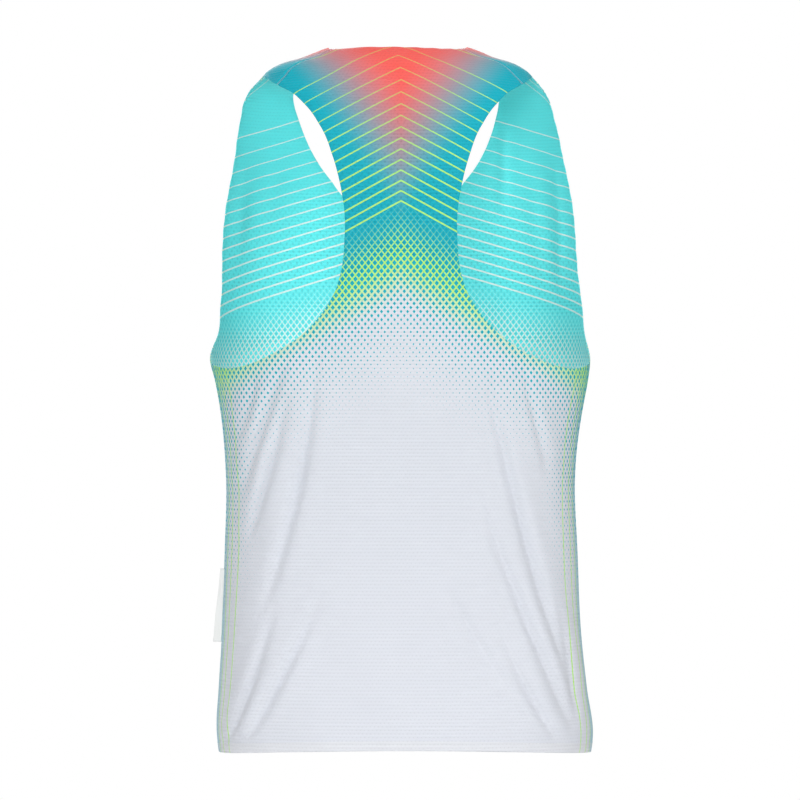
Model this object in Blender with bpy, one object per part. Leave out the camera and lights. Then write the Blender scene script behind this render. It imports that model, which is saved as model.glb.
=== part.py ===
"""A sleeveless running singlet with a racer back, hollow as if worn and held up by its straps.

+Z is up, the wearer faces -Y and +X is the wearer's left. The origin lies midway between the two
shoulder straps, level with where they rest. Tables are in millimetres and degrees.

A place on the cloth is a turn and a drop. The turn is the angle round the body: 0 at the centre
back, 90 at the left side, 180 at the centre front and -90 at the right side. The drop is the
distance below the corners of the neck.
"""

import bmesh
import bpy
import numpy as np

MM = 0.001
REST_DROP = 14.0  # the straps rest on the shoulders this far below the neck corners
HEM_DROP = 704.0  # length of the singlet at its side
WALL = 1.3
HEM_BAND = 10.0  # height of the turned hem, which is a second layer inside
HEM_LAYER = 0.5
HEM_RISE = 6.4  # the hem is this much higher at the middles than at the sides

# Seams lie at one turn all along; each panel stops short of it by half of the gap
SIDE_SEAM = 82.0
SHOULDER_SEAM = 58.0
SIDE_HALF_GAP = 0.10
SHOULDER_HALF_GAP = 0.20

# The ring that the cloth follows at each height. Squareness 0 is an ellipse. The two sways move
# the back's and the front's middle towards the wearer's left.
FORM_COLUMNS = (
    "drop", "half_width", "back_depth", "front_depth", "back_sway", "front_sway", "squareness"
)
FORM_ROWS = (
    (0, 71, 45, 44, -0.5, 0, 0.00),
    (6, 85, 53, 50, -1, 1, 0.00),
    (11, 96, 59, 54, -1, 2, 0.00),
    (17, 116, 65, 59, -2, 2, 0.00),
    (23, 128, 69, 62, -3, 3, 0.00),
    (31, 137, 74, 66, -4, 3, 0.00),
    (47, 156, 82, 73, -4, 2, 0.00),
    (77, 174, 92, 84, -4, 0, 0.01),
    (110, 184, 99, 95, -4, -1, 0.02),
    (157, 195, 104, 108, -4, -1, 0.03),
    (205, 199, 106, 117, -4, -2, 0.03),
    (254, 196, 106, 122, -4, -5, 0.03),
    (286, 189, 105, 124, -4, -5, 0.03),
    (311, 190, 104, 124, -3, -3, 0.03),
    (333, 186, 103, 124, -4, -4, 0.03),
    (355, 182, 101, 123, -4, -4, 0.03),
    (430, 175, 95, 118, -4, -4, 0.03),
    (500, 176, 93, 113, -4, -4, 0.03),
    (573, 179, 97, 113, -4, -4, 0.03),
    (640, 184, 104, 116, -6, -6, 0.03),
    (704, 187, 110, 119, -8, -8, 0.03),
)

# Edges on the wearer's left, from the shoulder down; the right side mirrors them. Rows are
# (across, drop), where across is the distance from the panel's own middle.
BACK_ARMHOLE = (
    (107, 48), (94, 61), (79, 83), (67, 113), (59.5, 142), (55.5, 168),
    (55.5, 196), (59.5, 230), (66, 249), (78, 268), (91, 283),
)
BACK_UNDERARM = ((91, 283), (107, 296), (127, 308), (150, 318), (168, 322))
FRONT_NECK = (
    (84, 8), (96, 22), (104, 45), (101, 66), (96, 82), (89, 99), (80, 115), (67, 132)
)
# The front's armhole runs near the side line, so its rows are (turn, drop)
FRONT_ARMHOLE = (
    (75, 31), (90, 30), (99, 37), (106, 47), (111, 62), (114, 77), (116, 93), (117.5, 111),
    (119, 140), (119.5, 172),
)
FRONT_UNDERARM = (
    (119.5, 172), (119, 205), (117, 236), (113, 258), (107, 278), (99, 297), (94, 306), (90, 311),
    (86, 315),
)
SHOULDER_END_DROP = 34.0
NECK_END_DROP = 2.5
NECK_CREST = (90.0, 0.5)
UNDERARM_DROP = 318.0
SCOOP_DROP = 168.0
SCOOP_ROUND = 2.3  # power of the scoop's curve: 2 is a parabola, more is flatter at the bottom

# Soft folds. Each runs down from (across_top, drop_top) to (across_low, drop_low), where across is
# + to the wearer's left, and bow is how far its middle swings to the left of that line.
FOLD_COLUMNS = ("across_top", "drop_top", "across_low", "drop_low", "bow", "width", "depth")
BACK_FOLDS = (
    (105, 304, 152, 448, 4, 8, 2.4),
    (107, 344, 148, 494, -2, 8, 2.4),
    (78, 304, 134, 564, -9, 10, 3.2),
    (70, 536, 150, 692, -3, 9, 3.0),
    (117, 546, 161, 680, -2, 8, 2.2),
    (-88, 310, -160, 584, 4, 10, 3.0),
    (-74, 432, -178, 688, 2, 10, 3.2),
    (-96, 570, -162, 694, 4, 9, 2.6),
    (-47, 536, -110, 638, 2, 10, 2.0),
)
FRONT_FOLDS = (
    (92, 316, 146, 474, 5, 10, 2.8),
    (70, 324, 128, 564, -8, 11, 3.0),
    (66, 560, 150, 690, 3, 11, 2.8),
    (-84, 318, -142, 504, -5, 11, 3.0),
    (-110, 322, -154, 456, 3, 9, 2.2),
    (-60, 466, -160, 680, 6, 11, 3.0),
    (-96, 586, -164, 692, -3, 10, 2.4),
    (-158, 90, -166, 268, -3, 9, 2.0),
)
FOLD_RIDGE_SHARE = 0.3  # height of the ridges beside a trough, as a share of its depth
FOLD_RIDGE_STEP = 1.7  # how far those ridges lie from the trough, in widths
FOLD_SIDE_FADE = 0.3  # folds die out towards the side line, where a panel turns edge on

# Quads along each stretch of a panel
SHOULDER_QUADS = 8
BACK_NECK_QUADS = 14
BACK_SIDE_QUADS = 12
BACK_YOKE_ROWS = 16
STRAP_ROWS = 14
SCOOP_QUADS = 26
CHEST_ROWS = 7
BODY_ROWS = 16
YOKE_MORPH = 4  # how late the yoke's columns swing out to the shoulder seams
NORMAL_STEP = 0.25  # half of the stretch over which a normal is taken
TURN_SAMPLES = 181
SEAM_SAMPLES = 101

LABEL_TOP_DROP = 521.0
LABEL_LENGTH = 73.0
LABEL_WIDTH_TOP = 5.0
LABEL_WIDTH_LOW = 10.0
LABEL_WALL = 1.0
LABEL_ROWS = 8
LABEL_COLUMNS = 3
LABEL_LEAN = 35.0  # the label leans this far forward from straight out
SEAM_CLEARANCE = 0.4

WHITE = (0.74, 0.78, 0.84, 1.0)
LABEL_WHITE = (0.86, 0.88, 0.88, 1.0)
KNIT_ROUGHNESS = 0.75
LABEL_ROUGHNESS = 0.6


def columns(names, rows):
    return dict(zip(names, np.array(rows, float).T))


FORM = columns(FORM_COLUMNS, FORM_ROWS)


def smooth(at, knots, values):
    """A smooth curve through the values at the knots."""
    tangents = np.gradient(values, knots)
    low = np.clip(np.searchsorted(knots, at, side="right") - 1, 0, len(knots) - 2)
    span = knots[low + 1] - knots[low]
    t = np.clip((at - knots[low]) / span, 0, 1)
    start = (1 + 2 * t) * (1 - t) ** 2 * values[low] + t * (1 - t) ** 2 * span * tangents[low]
    end = t**2 * (3 - 2 * t) * values[low + 1] - t**2 * (1 - t) * span * tangents[low + 1]
    return start + end


def ring(name, drop):
    return smooth(drop, FORM["drop"], FORM[name])


def spread(turn, drop):
    """How far round the ring a turn lies: its shares of the half width and of the depth."""
    angle = np.radians(turn)
    square = ring("squareness", drop)
    across = (np.sin(angle) + square * np.sin(3 * angle)) / (1 - square)
    along = (np.cos(angle) - square * np.cos(3 * angle)) / (1 - square)
    return across, along


def form(turn, drop):
    """Points of the smooth hollow form."""
    across, along = spread(turn, drop)
    depth = np.where(along > 0, ring("back_depth", drop), ring("front_depth", drop))
    back = (1 + along) / 2
    sway = back * ring("back_sway", drop) + (1 - back) * ring("front_sway", drop)
    return np.stack(
        [ring("half_width", drop) * across + sway, depth * along, REST_DROP - drop], axis=-1
    )


def outward(turn, drop):
    """The smooth form's unit normals."""
    round_body = form(turn + NORMAL_STEP, drop) - form(turn - NORMAL_STEP, drop)
    high = np.maximum(drop - NORMAL_STEP, 0)
    low = np.minimum(drop + NORMAL_STEP, HEM_DROP)
    normal = np.cross(round_body, form(turn, low) - form(turn, high))
    return normal / np.linalg.norm(normal, axis=-1, keepdims=True)


def turn_at(across, drop):
    """The turn on the back that lies this far from the middle."""
    turns = np.linspace(0, 90, TURN_SAMPLES)
    reach = ring("half_width", drop) * spread(turns, drop)[0]
    return np.interp(across, reach, turns)


def back_places(rows):
    return [(turn_at(across, drop), drop) for across, drop in rows]


def front_places(rows):
    return [(180 - turn_at(across, drop), drop) for across, drop in rows]


def fold_height(turn, drop, folds):
    """How far the folds lift the cloth from the form, negative in a trough."""
    place = form(turn, drop)
    height = np.zeros_like(drop)
    for row in folds:
        fold = dict(zip(FOLD_COLUMNS, row))
        length = fold["drop_low"] - fold["drop_top"]
        t = np.clip((drop - fold["drop_top"]) / length, 0, 1)
        swing = fold["across_low"] - fold["across_top"]
        path = fold["across_top"] + swing * t + fold["bow"] * 4 * t * (1 - t)
        slant = np.cos(np.arctan2(swing, length))
        aside = (place[..., 0] - path) * slant / fold["width"]
        ridges = FOLD_RIDGE_SHARE * np.exp(-((np.abs(aside) - FOLD_RIDGE_STEP) ** 2))
        height += fold["depth"] * np.sin(np.pi * t) * (ridges - np.exp(-(aside**2)))
    facing = np.clip(np.abs(np.cos(np.radians(turn))) / FOLD_SIDE_FADE, 0, 1)
    return height * facing**2 * (3 - 2 * facing)


def walk(points, steps):
    """Points at even steps along a smooth curve through the given ones, ends included."""
    lengths = np.linalg.norm(np.diff(points, axis=0), axis=1)
    knots = np.concatenate([[0], np.cumsum(lengths)])
    at = np.linspace(0, knots[-1], steps + 1)
    return np.stack([smooth(at, knots, points[:, 0]), smooth(at, knots, points[:, 1])], axis=-1)


def between(low, high, rows):
    """Rows of places that lead from the low row to the high one."""
    t = np.linspace(0, 1, rows + 1)[:, None, None]
    return (1 - t) * low + t * high


def seam_drops():
    """Drops at even steps along the shoulder seam, from the neck to the armhole."""
    drops = np.linspace(NECK_END_DROP, SHOULDER_END_DROP, SEAM_SAMPLES)
    points = form(np.full_like(drops, SHOULDER_SEAM), drops)
    lengths = np.linalg.norm(np.diff(points, axis=0), axis=1)
    at = np.concatenate([[0], np.cumsum(lengths)])
    return np.interp(np.linspace(0, at[-1], SHOULDER_QUADS + 1), at, drops)


def hem_drop(turn):
    return HEM_DROP - HEM_RISE * np.cos(np.radians(turn)) ** 2


def body_block(top):
    """The grid under a top row of places, down to the turned hem."""
    hem = np.stack([top[:, 0], hem_drop(top[:, 0])], axis=-1)
    band = hem - (0, HEM_BAND)
    return np.concatenate([hem[None], between(band, top, BODY_ROWS)])


def back_blocks():
    """The back panel's grids: the body up to the armholes, and the yoke between them."""
    edge = SIDE_SEAM - SIDE_HALF_GAP
    shoulder = (SHOULDER_SEAM - SHOULDER_HALF_GAP, SHOULDER_END_DROP)
    side = walk(np.array([shoulder] + back_places(BACK_ARMHOLE)), BACK_YOKE_ROWS)[::-1]
    yoke_drop = side[0, 1]

    # The yoke's top row: up one shoulder seam, along the neck, down the other
    neck_share = np.linspace(-1, 1, BACK_NECK_QUADS + 1)
    top_share = np.pad(neck_share, SHOULDER_QUADS, mode="edge")
    seam = seam_drops()[1:]
    neck = np.full_like(neck_share, NECK_END_DROP)
    top_drop = np.concatenate([seam[::-1], neck, seam])
    share = np.linspace(-1, 1, len(top_share))

    rise = np.linspace(0, 1, BACK_YOKE_ROWS + 1)[:, None]
    morph = rise**YOKE_MORPH
    turns = side[:, :1] * ((1 - morph) * share + morph * top_share)
    straight = (1 - rise) * yoke_drop + rise * SHOULDER_END_DROP
    drops = (1 - rise) * yoke_drop + rise * top_drop + side[:, 1:] - straight
    yoke = np.stack([turns, drops], axis=-1)

    # The body's top row: the yoke's lowest row, and the armhole's foot on each side of it
    foot = np.array(back_places(BACK_UNDERARM) + [(edge, UNDERARM_DROP)])
    foot[0] = side[0]
    left = walk(foot, BACK_SIDE_QUADS)[1:]
    right = left[::-1] * (-1, 1)
    return [body_block(np.concatenate([right, yoke[0], left])), yoke]


def front_blocks():
    """The front panel's grids: the body, the chest up to the neck, and the two straps."""
    edge = SIDE_SEAM + SIDE_HALF_GAP
    quads = 2 * SHOULDER_QUADS + SCOOP_QUADS
    turns = np.linspace(edge, 360 - edge, quads + 1)
    body_top = np.stack([turns, np.full_like(turns, UNDERARM_DROP)], axis=-1)
    side = walk(np.array([(edge, UNDERARM_DROP)] + list(FRONT_UNDERARM)[::-1]), CHEST_ROWS)

    # The straps, from the chest up to the shoulder seams
    seam = SHOULDER_SEAM + SHOULDER_HALF_GAP
    neck = [(seam, NECK_END_DROP), NECK_CREST] + front_places(FRONT_NECK)
    inner = walk(np.array(neck), STRAP_ROWS)[::-1]
    outer = walk(np.array([(seam, SHOULDER_END_DROP)] + list(FRONT_ARMHOLE)), STRAP_ROWS)[::-1]
    even = np.linspace(0, 1, SHOULDER_QUADS + 1)
    seam_share = (SHOULDER_END_DROP - seam_drops()[::-1]) / (SHOULDER_END_DROP - NECK_END_DROP)
    rise = np.linspace(0, 1, STRAP_ROWS + 1)[:, None]
    across = ((1 - rise) * even + rise * seam_share)[..., None]
    left = (1 - across) * outer[:, None] + across * inner[:, None]
    right = left[:, ::-1] * (-1, 1) + (360, 0)

    # The chest's top row: the foot of one strap, the scoop of the neck, the foot of the other
    corner = left[0, -1]
    scoop_turn = np.linspace(corner[0], 360 - corner[0], SCOOP_QUADS + 1)
    scoop_share = 1 - np.abs(np.linspace(-1, 1, SCOOP_QUADS + 1)) ** SCOOP_ROUND
    scoop_drop = corner[1] + (SCOOP_DROP - corner[1]) * scoop_share
    scoop = np.stack([scoop_turn, scoop_drop], axis=-1)
    chest_top = np.concatenate([left[0], scoop[1:-1], right[0]])

    chest = between(body_top, chest_top, CHEST_ROWS)
    swing = side - chest[:, 0]
    chest[..., 0] += swing[:, :1] * np.linspace(1, -1, quads + 1)
    chest[..., 1] += swing[:, 1:]
    return [body_block(body_top), chest, left, right]


def material(name, colour, roughness):
    made = bpy.data.materials.new(name)
    made.use_nodes = True
    shader = made.node_tree.nodes["Principled BSDF"]
    shader.inputs["Base Color"].default_value = colour
    shader.inputs["Roughness"].default_value = roughness
    made.diffuse_color = colour
    return made


def close_wall(cloth, inside):
    """Gives an open sheet its inner face and its rim; inside holds each vertex's inner point."""
    inner = {vertex: cloth.verts.new(inside[vertex]) for vertex in list(cloth.verts)}
    rim = [edge.link_loops[0] for edge in cloth.edges if edge.is_boundary]
    rim = [(loop.link_loop_next.vert, loop.vert) for loop in rim]
    for face in list(cloth.faces):
        cloth.faces.new([inner[vertex] for vertex in reversed(face.verts)])
    for start, end in rim:
        cloth.faces.new([start, end, inner[end], inner[start]])


def add_object(name, cloth, finish):
    mesh = bpy.data.meshes.new(name)
    cloth.to_mesh(mesh)
    cloth.free()
    mesh.shade_smooth()
    mesh.materials.append(finish)
    made = bpy.data.objects.new(name, mesh)
    bpy.context.scene.collection.objects.link(made)
    return made


def panel(name, blocks, folds, finish):
    """A panel as one closed wall over its grids, which meet along shared rows."""
    cloth = bmesh.new()
    found = {}
    inside = {}
    for grid in blocks:
        turn, drop = grid[..., 0], grid[..., 1]
        normal = outward(turn, drop)
        outer = form(turn, drop) + normal * fold_height(turn, drop, folds)[..., None]
        wall = WALL + HEM_LAYER * (drop > hem_drop(turn) - HEM_BAND / 2)
        depth = outer - normal * wall[..., None]
        corners = np.empty(grid.shape[:2], object)
        for place in np.ndindex(corners.shape):
            key = tuple(np.round(grid[place], 3))
            if key not in found:
                found[key] = cloth.verts.new(outer[place] * MM)
                inside[found[key]] = depth[place] * MM
            corners[place] = found[key]
        for row in range(grid.shape[0] - 1):
            for col in range(grid.shape[1] - 1):
                low, high = corners[row], corners[row + 1]
                cloth.faces.new([low[col], high[col], high[col + 1], low[col + 1]])
    close_wall(cloth, inside)
    return add_object(name, cloth, finish)


def side_label(finish):
    """The tab in the left side seam: it stands out from the seam and leans forward."""
    cloth = bmesh.new()
    inside = {}
    drops = np.linspace(LABEL_TOP_DROP, LABEL_TOP_DROP + LABEL_LENGTH, LABEL_ROWS + 1)
    turns = np.full_like(drops, SIDE_SEAM)
    root = form(turns, drops) + outward(turns, drops) * SEAM_CLEARANCE
    reach = np.linspace(LABEL_WIDTH_TOP, LABEL_WIDTH_LOW, LABEL_ROWS + 1)[:, None, None]
    lean = np.radians(LABEL_LEAN)
    out = np.array([np.cos(lean), -np.sin(lean), 0])
    share = np.linspace(0, 1, LABEL_COLUMNS + 1)[None, :, None]
    points = root[:, None] + share * reach * out
    back = np.array([np.sin(lean), np.cos(lean), 0]) * LABEL_WALL
    corners = np.empty(points.shape[:2], object)
    for place in np.ndindex(corners.shape):
        corners[place] = cloth.verts.new(points[place] * MM)
        inside[corners[place]] = (points[place] + back) * MM
    for row in range(LABEL_ROWS):
        for col in range(LABEL_COLUMNS):
            low, high = corners[row], corners[row + 1]
            cloth.faces.new([low[col], high[col], high[col + 1], low[col + 1]])
    close_wall(cloth, inside)
    return add_object("side_label", cloth, finish)


def build():
    for old in list(bpy.data.objects):
        bpy.data.objects.remove(old)
    knit = material("white_knit", WHITE, KNIT_ROUGHNESS)
    panel("back_panel", back_blocks(), BACK_FOLDS, knit)
    panel("front_panel", front_blocks(), FRONT_FOLDS, knit)
    side_label(material("label_tape", LABEL_WHITE, LABEL_ROUGHNESS))


if __name__ == "__main__":
    build()
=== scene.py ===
"""The looks of a running singlet: printed mesh knit, worn hollow, with its hem, seams and stitches.

Tables are in millimetres and degrees. A place on the cloth is a turn and a drop. The turn is the
angle round the body: 0 at the centre back, 90 at the left side, 180 at the centre front. The drop
is the distance below the corners of the neck.
"""

import bpy
import numpy as np
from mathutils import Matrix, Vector
from mathutils.kdtree import KDTree


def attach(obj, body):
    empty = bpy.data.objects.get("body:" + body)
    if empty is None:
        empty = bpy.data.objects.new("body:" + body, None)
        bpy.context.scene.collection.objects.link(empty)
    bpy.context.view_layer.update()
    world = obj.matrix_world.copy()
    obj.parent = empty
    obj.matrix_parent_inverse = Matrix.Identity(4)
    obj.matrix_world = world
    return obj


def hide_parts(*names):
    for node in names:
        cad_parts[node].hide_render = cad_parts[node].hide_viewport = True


MM = 0.001
REST_DROP = 14.0  # the straps rest on the shoulders this far below the neck corners
HEM_DROP = 704.0  # length of the singlet at its side
HEM_RISE = 6.4  # the hem is this much higher at the middles than at the sides
WALL = 0.8
SIDE_SEAM = 82.0
SHOULDER_SEAM = 56.5
CENTRE_BACK = 0.0
CENTRE_FRONT = 180.0

# The ring that the cloth follows at each height. Squareness 0 is an ellipse. The two sways move
# the back's and the front's middle towards the wearer's left.
FORM_COLUMNS = (
    "drop", "half_width", "back_depth", "front_depth", "back_sway", "front_sway", "squareness"
)
FORM_ROWS = (
    (0, 71, 45, 44, -0.5, 0, 0.00),
    (6, 85, 53, 50, -1, 1, 0.00),
    (11, 96, 59, 54, -1, 2, 0.00),
    (17, 116, 65, 59, -2, 2, 0.00),
    (23, 128, 69, 62, -3, 3, 0.00),
    (31, 137, 74, 66, -4, 3, 0.00),
    (47, 156, 82, 73, -4, 2, 0.00),
    (77, 174, 92, 84, -4, 0, 0.01),
    (110, 184, 99, 95, -4, -1, 0.02),
    (157, 195, 104, 108, -4, -1, 0.03),
    (205, 199, 106, 117, -4, -2, 0.03),
    (254, 196, 106, 122, -4, -5, 0.03),
    (286, 189, 105, 124, -4, -5, 0.03),
    (311, 190, 104, 124, -3, -3, 0.03),
    (333, 186, 103, 124, -4, -4, 0.03),
    (355, 182, 101, 123, -4, -4, 0.03),
    (430, 175, 95, 118, -4, -4, 0.03),
    (500, 176, 93, 113, -4, -4, 0.03),
    (573, 179, 97, 113, -4, -4, 0.03),
    (640, 184, 104, 116, -6, -6, 0.03),
    (690, 187.3, 109, 118, -8, -8, 0.03),
    (704, 185.6, 109, 118, -8, -8, 0.03),
)

# Edges on the wearer's left, from the shoulder down; the right side mirrors them. Rows are
# (across, drop), where across is the distance from the panel's own middle.
BACK_ARMHOLE = (
    (107, 48), (94, 61), (79, 83), (67, 113), (59.5, 142), (55.5, 168),
    (55.5, 196), (59.5, 230), (66, 249), (78, 268), (91, 283),
)
BACK_UNDERARM = ((91, 283), (107, 296), (127, 308), (150, 318), (168, 322))
FRONT_NECK = (
    (84, 8), (96, 22), (104, 45), (101, 66), (96, 82), (89, 99), (80, 115), (67, 132)
)
# The front's armhole runs near the side line, so its rows are (turn, drop)
FRONT_ARMHOLE = (
    (75, 31), (87, 30), (95, 36), (104, 47), (110.5, 62), (114, 77), (116, 93), (117.5, 111),
    (119, 140), (119.5, 172),
)
FRONT_UNDERARM = (
    (119.5, 172), (119, 205), (117, 236), (113, 258), (107, 278), (99, 297), (94, 306), (90, 311),
    (86, 315),
)
SHOULDER_END_DROP = 38.5
NECK_END_DROP = 2.5
NECK_CREST = (90.0, 0.5)
UNDERARM_DROP = 318.0
SCOOP_DROP = 168.0
SCOOP_ROUND = 2.3  # power of the scoop's curve: 2 is a parabola, more is flatter at the bottom

# Soft folds and creases. Each runs down from (across_top, drop_top) to (across_low, drop_low),
# where across is + to the wearer's left, and bow is how far its middle swings to that side. It is
# deepest at its peak, a share of its run.
FOLD_COLUMNS = (
    "across_top", "drop_top", "across_low", "drop_low", "bow", "peak", "width", "depth"
)
BACK_FOLDS = (
    # from the foot of the left armhole
    (139, 328, 157, 394, -1, 0.5, 3.8, 2.4),
    (105, 304, 152, 448, 4, 0.55, 4.4, 4.4),
    (107, 344, 148, 494, -2, 0.6, 4.2, 5.0),
    (78, 304, 134, 564, -9, 0.55, 5.4, 5.2),
    # from the hem's left corner
    (70, 536, 150, 692, -3, 0.6, 4.4, 5.0),
    (117, 546, 161, 680, -2, 0.65, 4.0, 4.0),
    (149, 640, 167, 694, 0, 0.6, 3.4, 2.4),
    # from the foot of the right armhole
    (-84, 310, -180, 664, 5, 0.5, 4.8, 5.2),
    (-122, 318, -150, 434, -2, 0.5, 4.2, 2.8),
    # from the hem's right corner
    (-74, 432, -178, 688, 2, 0.6, 4.6, 5.2),
    (-96, 570, -162, 694, 4, 0.65, 4.4, 4.6),
    (-47, 536, -110, 638, 2, 0.5, 6.0, 3.0),
    (-154, 530, -180, 682, -2, 0.6, 3.6, 2.4),
)
FRONT_FOLDS = (
    # from the feet of the armholes
    (92, 316, 146, 474, 5, 0.5, 5.4, 3.6),
    (112, 322, 152, 434, -2, 0.5, 5.0, 3.0),
    (70, 324, 128, 564, -8, 0.55, 6.0, 4.0),
    (-84, 318, -142, 504, -5, 0.5, 5.6, 4.0),
    (-110, 322, -154, 456, 3, 0.55, 5.2, 3.2),
    # from the hem's corners
    (66, 560, 150, 690, 3, 0.7, 5.4, 3.8),
    (108, 576, 160, 680, -2, 0.65, 5.0, 3.0),
    (-60, 466, -160, 680, 6, 0.6, 5.8, 4.2),
    (-96, 586, -164, 692, -3, 0.7, 5.2, 3.4),
    (-40, 556, -104, 644, 2, 0.5, 6.5, 2.2),
    # beside the armholes and over the chest
    (-110, 66, -108, 172, 1, 0.5, 4.2, 2.2),
    (-158, 90, -166, 268, -3, 0.5, 5.2, 2.8),
    (-134, 114, -146, 256, -2, 0.5, 7.0, 1.4),
    (152, 104, 163, 246, 2, 0.5, 6.5, 1.8),
    (118, 90, 128, 202, 2, 0.5, 6.0, 1.2),
    (52, 184, 86, 336, 5, 0.5, 8.5, 1.8),
    (-46, 182, -74, 324, -5, 0.5, 8.5, 1.6),
)
FOLD_RIDGE_SHARE = 0.34  # height of the ridges beside a trough, as a share of its depth
FOLD_RIDGE_STEP = 2.5  # how far those ridges lie from the trough, in widths
FOLD_RIDGE_WIDTH = 1.7  # and how wide they are
FOLD_SIDE_FADE = 0.3  # folds die out towards the side line, where a panel turns edge on

# Slow swells of the cloth between its folds
SWELL_COLUMNS = ("across_wave", "drop_wave", "phase", "lift")
SWELLS = ((137, 211, 0.6, 0.55), (-93, 158, 2.1, 0.35), (71, -263, 4.0, 0.25))

# The hem's profile: lift of the outer face at each height above its edge
HEM_PROFILE = (
    (0.0, -0.10), (0.7, 0.22), (2.0, 0.38), (3.8, 0.40), (5.6, 0.36), (6.8, 0.10), (7.6, 0.34),
    (8.5, 0.12), (9.4, 0.40), (10.2, 0.10), (11.2, 0.0),
)
HEM_STITCH_HEIGHTS = (6.8, 8.5)

# Free edges roll in a little, and the seams sink
ROLL_DEPTH = 0.7
ROLL_REACH = 2.6
ROLL_WAVE = 0.35  # share by which the roll varies along an edge
ROLL_WAVE_LENGTH = 23.0
SEAM_SINK = 0.9
SEAM_REACH = 1.5
SEAM_WELT = 0.45  # the folded allowance lifts the cloth beside a seam
SEAM_WELT_STEP = 3.2
SEAM_RUNS = (  # turn, highest drop and lowest drop of each pair of seams
    (SIDE_SEAM, UNDERARM_DROP, HEM_DROP),
    (SHOULDER_SEAM, 0.0, SHOULDER_END_DROP),
)
RIM_BULGE = 0.3  # how far the middle of a rounded edge stands out
HEM_BAND = 9.4  # height of the cloth turned up inside
HEM_LAYER = 0.7  # and its thickness
CUT_MAP = "cut"
SIDE_MAP = "side"

# Quads along each stretch of a panel, closer together towards both of its ends
SHOULDER_QUADS = 36
BACK_NECK_QUADS = 38
BACK_SIDE_QUADS = 80
BACK_YOKE_ROWS = 88
STRAP_ROWS = 64
SCOOP_QUADS = 150
CHEST_ROWS = 56
BODY_ROWS = 124
CROWDING = 0.75  # how much smaller the quads are at the ends
CROWD_REACH = 0.08  # share of the stretch over which they grow to full size
YOKE_MORPH = 4  # how late the yoke's columns swing out to the shoulder seams
NORMAL_STEP = 0.25  # half of the stretch over which a normal is taken
TURN_SAMPLES = 181
SEAM_SAMPLES = 101
CUT_STEPS = 20
LEVEL_KNIT_DROP = 170.0  # below this the knit's rows lie level
TINY = 1e-9

LABEL_TOP_DROP = 521.0
LABEL_LENGTH = 73.0
LABEL_WIDTH_TOP = 4.3
LABEL_WIDTH_LOW = 9.2
LABEL_LEAN = 22.0  # forward from straight out
LABEL_ROWS = 48
LABEL_COLUMNS = 8
LABEL_FOLD_STEPS = 6
LABEL_PLY = 0.34  # thickness of one layer of the folded tape
LABEL_GAP = 0.22  # between the two layers
LABEL_WAVE = 0.5
LABEL_WAVE_LENGTH = 46.0
LABEL_CUT = (0.019, 0.073)
LABEL_CUT_AREA = 0.00104
SEAM_CLEARANCE = 0.4

# Stitches: pitch, length, half of the thread's width, and arch, in metres
STITCH_SIZES = ("Pitch", "Length", "Width", "Arch")
HEM_STITCH = (0.0027, 0.0022, 0.00017, 0.0003)
SEAM_STITCH = (0.0013, 0.0032, 0.00019, 0.0006)
SEAM_BRIDGE = 0.8  # how far stitches over a seam lie above its bottom
STITCH_STEPS = 5
STITCH_SIDES = 6
STITCH_PATH_POINTS = 300
SLANT = 0.35  # how far seam stitches lean along the seam

# Cut sizes, flat, without the allowances: width, length and area in metres
BACK_CUT = (0.455, 0.742)
BACK_CUT_AREA = 0.223
FRONT_CUT = (0.545, 0.766)
FRONT_CUT_AREA = 0.301

# Inks of the print on the cloth's outer face, and how they show on its inner face: partly the
# print's paler reverse, partly painted light that brightens the inside as though light shone
# through the cloth
INK_NAMES = ("white", "turquoise", "lime", "coral")
OUTER_INKS = ((0.766, 0.789, 0.857), (0.002, 0.46, 0.57), (0.50, 0.91, 0.18), (0.97, 0.13, 0.11))
INNER_INKS_AND_PAINTED_LIGHT = ((0.92, 0.94, 0.96), (0.17, 0.91, 0.93), (0.88, 0.98, 0.92), (0.97, 0.72, 0.68))

# The print, on the flat cut, in metres. Its chevrons point up, and a place's chevron is how far it
# lies below the first of them. The vee at the neck points down, and a place's vee is its distances
# down and aside, each times its own weight. It is all coral up to vee_full, and none from vee_gone.
PRINT_COLUMNS = (
    "neck_height", "chevron_top", "chevron_slope", "vee_down", "vee_aside", "vee_full", "vee_gone"
)
BACK_PRINT = (0.715, 0.0, 0.55, 1.0, 1.4, 0.03, 0.19)
FRONT_PRINT = (0.715, 0.05, 0.30, 2.0, 1.2, 0.03, 0.25)
DIAMOND_WIDTH = 0.0064
DIAMOND_HEIGHT = 0.0080
DIAMONDS_FULL = 0.12  # chevron at which the turquoise breaks up into diamonds
DIAMONDS_GONE = 0.40
DIAMOND_COVER = 1.02  # size of the diamonds that just cover the ground, in repeats
LIME_START = (0.155, 0.215)  # chevrons over which the ground between the diamonds turns lime
LIME_END = (0.215, 0.27)  # and then white
TONAL_DIAMOND = 0.42  # size of the darker diamonds in the turquoise, in repeats
TONAL_START = (0.02, 0.16)  # chevrons over which they come in
TONAL_INK = 0.16
PINSTRIPE_START = -0.02
PINSTRIPE_END = 0.172
PINSTRIPE_COUNT = 15
PINSTRIPE_EASE = 1.3  # power of their spacing: more leaves them further apart near the neck
PINSTRIPE_HALF_WIDTH = (0.025, 0.085)  # at the first and the last, in repeats
PINSTRIPE_ON_VEE = 0.45  # how much of their ink shows on the coral
FLANK_DIAMONDS = (0.006, 0.085)  # distances from the side seam over which diamonds shrink
FLANK_DIAMOND_SIZE = 0.72
FLANK_FADE = (0.33, 0.66)  # distances down over which they die out
SIDE_STRIPES = ((0.010, 0.0008), (0.021, 0.0007), (0.034, 0.0006))
SIDE_SHADE_REACH = (0.002, 0.018)
SIDE_SHADE = 0.45

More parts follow.
